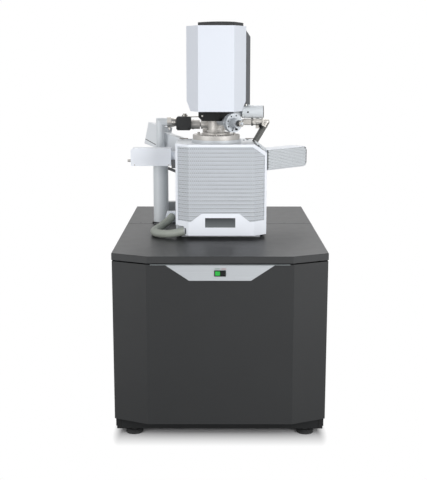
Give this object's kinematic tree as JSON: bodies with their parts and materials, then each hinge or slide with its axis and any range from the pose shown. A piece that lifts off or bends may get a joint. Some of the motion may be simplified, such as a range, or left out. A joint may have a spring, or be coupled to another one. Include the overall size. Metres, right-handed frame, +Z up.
{
  "type": "scanning electron microscope",
  "caption": "Floor-standing electron microscope: console with table, vacuum chamber with sliding door and tilting specimen stage, upright column with pump line and detectors.",
  "frame": {"origin": "on the floor under the middle of the console", "axes": "+X to the right seen from the front, +Y to the back, +Z up"},
  "size_m": [0.94, 1.41, 1.816],
  "materials": {
    "white_paint": "fine satin powder coat",
    "dark_paint": "fine matt powder coat",
    "table_laminate": "matt dark laminate",
    "dark_plastic": "moulded dark plastic",
    "machined_metal": "machined, satin",
    "bright_steel": "turned and polished",
    "silver_inlay": "brushed along its length",
    "green_lens": "clear green moulding, lit from behind",
    "grey_paint": "smooth satin paint",
    "grille_mesh": "perforated sheet, satin paint",
    "black_rubber": "matt rubber",
    "grey_hose": "matt ribbed hose"
  },
  "bodies": {
    "root": {"levelling_feet": "black_rubber", "base_tray": "dark_paint", "corner_posts": "dark_paint", "top_rails": "dark_paint", "front_cover": "dark_paint", "left_side_cover": "dark_paint", "right_side_cover": "dark_paint", "rear_cover": "dark_paint", "front_table_plate": "table_laminate", "rear_table_plate": "table_laminate", "table_screws": "bright_steel", "inlay_plate": "silver_inlay", "switch_bezel": "silver_inlay", "isolation_mounts": "black_rubber", "platform_plate": "machined_metal", "turbo_pump": "machined_metal", "control_rack": "dark_paint", "chamber_body": "machined_metal", "left_detector_box": "white_paint", "xray_detector": "grey_paint", "right_detector_housing": "white_paint", "chamfer_port_plate": "machined_metal", "hose_block": "white_paint", "objective_lens": "machined_metal", "column_base": "machined_metal", "column_bolts": "bright_steel", "column_neck": "machined_metal", "black_collar": "dark_plastic", "column_core": "machined_metal", "column_casing": "white_paint", "column_cap": "dark_plastic", "column_spine": "dark_plastic", "pump_post": "grey_paint", "clamp_rings": "bright_steel", "valve_block": "grey_paint", "valve_pipe": "machined_metal", "pump_manifold": "machined_metal", "aperture_disc": "machined_metal", "pump_cylinder": "white_paint", "side_pipe": "machined_metal", "pipe_elbow": "machined_metal", "bent_hose": "black_rubber", "service_hose": "grey_hose"},
    "door": {"door_plate": "machined_metal", "door_cover": "white_paint", "door_grille": "grille_mesh", "display_window": "dark_plastic", "door_seal": "black_rubber", "door_guides": "machined_metal"},
    "tilt_cradle": {"stage_cradle": "machined_metal"},
    "lift": {"stage_lift": "machined_metal"},
    "cross_slide": {"slide_x_table": "machined_metal"},
    "front_slide": {"slide_y_table": "machined_metal"},
    "turning_holder": {"specimen_holder": "machined_metal", "specimen_stub": "machined_metal"},
    "power_button": {"power_on_button": "green_lens"},
    "standby_switch": {"standby_button": "dark_plastic"},
    "aperture_drive": {"aperture_knob": "machined_metal"},
    "aperture_side_drive": {"aperture_side_knob": "dark_plastic"},
    "detector_knob": {"left_detector_knob": "machined_metal"}
  },
  "joints": [
    {"name": "door_slide", "type": "slide", "parent": "root", "child": "door", "axis": [0, -1, 0], "range_m": [0, 0.25], "deforming": ["service_hose"]},
    {"name": "stage_tilt", "type": "hinge", "parent": "door", "child": "tilt_cradle", "pos_m": [-0.0165, -0.2621, 1.15], "axis": [0, -1, 0], "range_deg": [-15, 90]},
    {"name": "stage_lift_slide", "type": "slide", "parent": "tilt_cradle", "child": "lift", "axis": [0, 0, 1], "range_m": [-0.065, 0]},
    {"name": "stage_x_slide", "type": "slide", "parent": "lift", "child": "cross_slide", "axis": [-1, 0, 0], "range_m": [-0.055, 0.055]},
    {"name": "stage_y_slide", "type": "slide", "parent": "cross_slide", "child": "front_slide", "axis": [0, -1, 0], "range_m": [-0.055, 0.055]},
    {"name": "stage_turn", "type": "hinge", "parent": "front_slide", "child": "turning_holder", "pos_m": [-0.0165, -0.119, 1.1], "axis": [0, 0, 1], "continuous": true},
    {"name": "power_push", "type": "slide", "parent": "root", "child": "power_button", "axis": [0, 1, 0], "range_m": [0, 0.0025], "stiffness_N_per_m": 600, "springref_m": -0.002},
    {"name": "standby_push", "type": "slide", "parent": "root", "child": "standby_switch", "axis": [0, 1, 0], "range_m": [0, 0.0025], "stiffness_N_per_m": 600, "springref_m": -0.002},
    {"name": "aperture_turn", "type": "hinge", "parent": "root", "child": "aperture_drive", "pos_m": [0.0875, -0.29913, 1.36], "axis": [0.5, -0.866, 0], "range_deg": [-170, 170]},
    {"name": "aperture_side_turn", "type": "hinge", "parent": "root", "child": "aperture_side_drive", "pos_m": [0.076, -0.27921, 1.33], "axis": [0, 0, 1], "range_deg": [-170, 170]},
    {"name": "detector_knob_turn", "type": "hinge", "parent": "root", "child": "detector_knob", "pos_m": [-0.44, -0.026, 1.163], "axis": [1, 0, 0], "range_deg": [-135, 135]}
  ]
}
